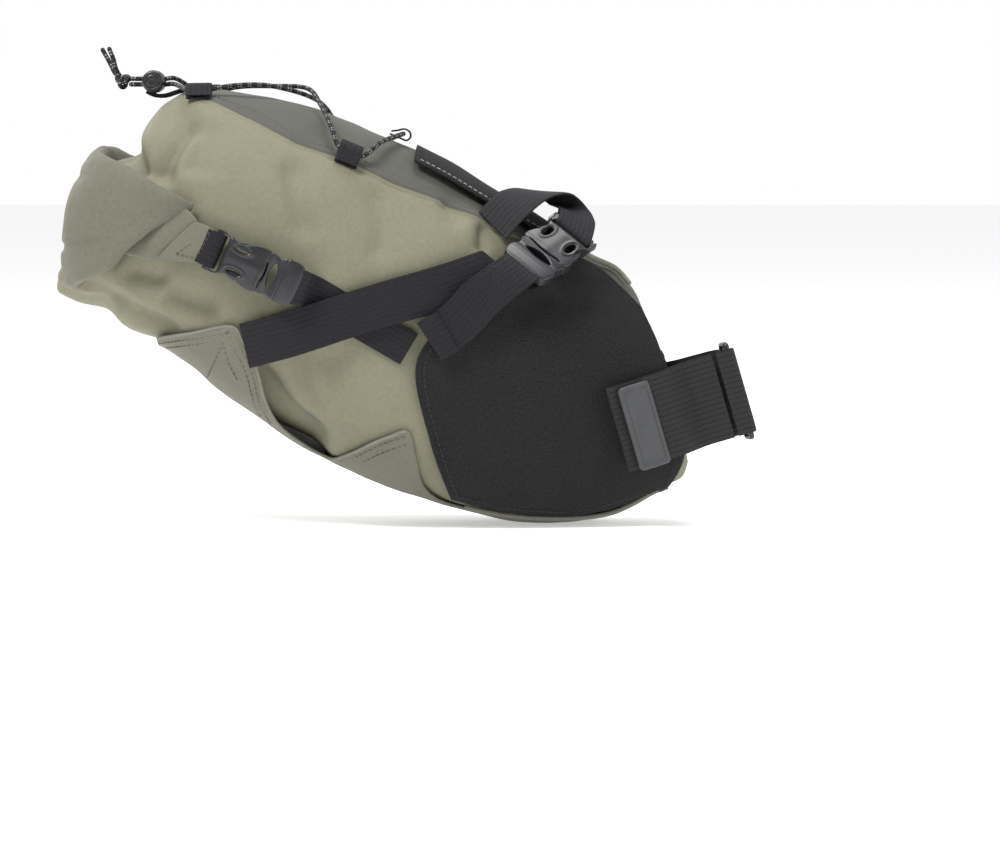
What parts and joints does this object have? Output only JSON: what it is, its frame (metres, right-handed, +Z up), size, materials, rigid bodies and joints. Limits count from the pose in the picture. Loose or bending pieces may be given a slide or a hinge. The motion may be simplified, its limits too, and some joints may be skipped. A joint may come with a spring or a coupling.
{
  "type": "saddle bag",
  "caption": "Roll-top saddle bag on a seatpost strap and rail straps, with side-release buckles, sling bottom panel and corded top.",
  "frame": {"origin": "on the seatpost's axis, level with the middle of the post strap", "axes": "+X is the bicycle's forward direction, +Z up, -Y the bicycle's right side; the seatpost leans back 16.2 degrees from +Z"},
  "size_m": [0.3971, 0.1854, 0.2743],
  "materials": {
    "shell_fabric": "olive-grey coated nylon, fine plain weave, soft sheen",
    "base_fabric": "slightly darker olive-grey coated nylon, topstitched",
    "panel_fabric": "black ballistic weave, coarse and matt",
    "liner_fabric": "pale grey waterproof liner",
    "stiffener_sheet": "bent plastic sheet",
    "grip_pad": "grippy rubberised pad",
    "label_rubber": "blank moulded rubber pull tab",
    "webbing": "black ribbed nylon webbing",
    "piping": "pale olive-grey fabric piping",
    "buckle_plastic": "satin black moulded acetal",
    "cord": "black braided shock cord with pale flecks",
    "spring_steel": "drawn spring wire"
  },
  "bodies": {
    "root": {"base_stiffener": "stiffener_sheet", "bottom_panel": "base_fabric", "cord_knot": "cord", "cord_lock_body": "buckle_plastic", "cord_lock_spring": "spring_steel", "cord_loop_front": "webbing", "cord_loop_rear_left": "webbing", "cord_loop_rear_right": "webbing", "cord_loop_side_left": "webbing", "cord_loop_side_right": "webbing", "cord_tail_1": "cord", "cord_tail_2": "cord", "front_pad": "grip_pad", "inner_dry_bag": "liner_fabric", "lift_strap_left": "webbing", "lift_strap_right": "webbing", "main_shell": "shell_fabric", "piping_bottom_left": "piping", "piping_bottom_right": "piping", "piping_top_left": "piping", "piping_top_right": "piping", "post_strap_base": "webbing", "post_strap_far": "webbing", "post_strap_ring": "buckle_plastic", "rail_female_left": "buckle_plastic", "rail_female_right": "buckle_plastic", "rail_strap_left": "webbing", "rail_strap_right": "webbing", "roll_female_left": "buckle_plastic", "roll_female_right": "buckle_plastic", "roll_strap_left": "webbing", "roll_strap_right": "webbing", "roll_tab_left": "webbing", "roll_tab_right": "webbing", "roll_top": "base_fabric", "shock_cord": "cord", "side_panel_left": "panel_fabric", "side_panel_right": "panel_fabric", "top_front_panel": "panel_fabric"},
    "roll_male_right": {"roll_male_right": "buckle_plastic"},
    "roll_arm_upper_right": {"roll_arm_upper_right": "buckle_plastic"},
    "roll_arm_lower_right": {"roll_arm_lower_right": "buckle_plastic"},
    "roll_male_left": {"roll_male_left": "buckle_plastic"},
    "roll_arm_upper_left": {"roll_arm_upper_left": "buckle_plastic"},
    "roll_arm_lower_left": {"roll_arm_lower_left": "buckle_plastic"},
    "rail_male_right": {"rail_male_right": "buckle_plastic"},
    "rail_arm_upper_right": {"rail_arm_upper_right": "buckle_plastic"},
    "rail_arm_lower_right": {"rail_arm_lower_right": "buckle_plastic"},
    "rail_male_left": {"rail_male_left": "buckle_plastic"},
    "rail_arm_upper_left": {"rail_arm_upper_left": "buckle_plastic"},
    "rail_arm_lower_left": {"rail_arm_lower_left": "buckle_plastic"},
    "post_strap_flap": {"post_strap_flap": "webbing", "post_strap_label": "label_rubber"},
    "cord_lock_plunger": {"cord_lock_plunger": "buckle_plastic"}
  },
  "joints": [
    {"name": "roll_release_right", "type": "slide", "parent": "root", "child": "roll_male_right", "axis": [0.9153, 0, -0.4029], "range_m": [0, 0.02], "deforming": ["roll_strap_right"]},
    {"name": "roll_squeeze_upper_right", "type": "hinge", "parent": "roll_male_right", "child": "roll_arm_upper_right", "pos_m": [-0.24726, -0.0885, 0.08603], "axis": [0, -1, 0], "range_deg": [0, 9], "stiffness_Nm_per_rad": 0.08},
    {"name": "roll_squeeze_lower_right", "type": "hinge", "parent": "roll_male_right", "child": "roll_arm_lower_right", "pos_m": [-0.25419, -0.0885, 0.07028], "axis": [0, 1, 0], "range_deg": [0, 9], "stiffness_Nm_per_rad": 0.08},
    {"name": "roll_release_left", "type": "slide", "parent": "root", "child": "roll_male_left", "axis": [0.9153, 0, -0.4029], "range_m": [0, 0.02], "deforming": ["roll_strap_left"]},
    {"name": "roll_squeeze_upper_left", "type": "hinge", "parent": "roll_male_left", "child": "roll_arm_upper_left", "pos_m": [-0.25419, 0.0885, 0.07028], "axis": [0, 1, 0], "range_deg": [0, 9], "stiffness_Nm_per_rad": 0.08},
    {"name": "roll_squeeze_lower_left", "type": "hinge", "parent": "roll_male_left", "child": "roll_arm_lower_left", "pos_m": [-0.24726, 0.0885, 0.08603], "axis": [0, -1, 0], "range_deg": [0, 9], "stiffness_Nm_per_rad": 0.08},
    {"name": "rail_release_right", "type": "slide", "parent": "root", "child": "rail_male_right", "axis": [-0.6581, -0.6078, -0.4443], "range_m": [0, 0.02], "deforming": ["lift_strap_right"]},
    {"name": "rail_squeeze_upper_right", "type": "hinge", "parent": "rail_male_right", "child": "rail_arm_upper_right", "pos_m": [-0.08306, -0.05539, 0.07969], "axis": [0.1919, -0.7061, 0.6816], "range_deg": [0, 9], "stiffness_Nm_per_rad": 0.08},
    {"name": "rail_squeeze_lower_right", "type": "hinge", "parent": "rail_male_right", "child": "rail_arm_lower_right", "pos_m": [-0.09937, -0.04726, 0.09271], "axis": [-0.1919, 0.7061, -0.6816], "range_deg": [0, 9], "stiffness_Nm_per_rad": 0.08},
    {"name": "rail_release_left", "type": "slide", "parent": "root", "child": "rail_male_left", "axis": [-0.6581, 0.6078, -0.4443], "range_m": [0, 0.02], "deforming": ["lift_strap_left"]},
    {"name": "rail_squeeze_upper_left", "type": "hinge", "parent": "rail_male_left", "child": "rail_arm_upper_left", "pos_m": [-0.09937, 0.04726, 0.09271], "axis": [0.1919, 0.7061, 0.6816], "range_deg": [0, 9], "stiffness_Nm_per_rad": 0.08},
    {"name": "rail_squeeze_lower_left", "type": "hinge", "parent": "rail_male_left", "child": "rail_arm_lower_left", "pos_m": [-0.08306, 0.05539, 0.07969], "axis": [-0.1919, -0.7061, -0.6816], "range_deg": [0, 9], "stiffness_Nm_per_rad": 0.08},
    {"name": "post_strap_peel", "type": "hinge", "parent": "root", "child": "post_strap_flap", "pos_m": [0.01344, -0.0213, 0.00391], "axis": [-0.279, 0, 0.9603], "range_deg": [0, 110]},
    {"name": "cord_lock_press", "type": "slide", "parent": "root", "child": "cord_lock_plunger", "axis": [0, 1, 0], "range_m": [0, 0.0025], "stiffness_N_per_m": 400, "springref_m": -0.001, "deforming": ["cord_lock_spring"]}
  ]
}
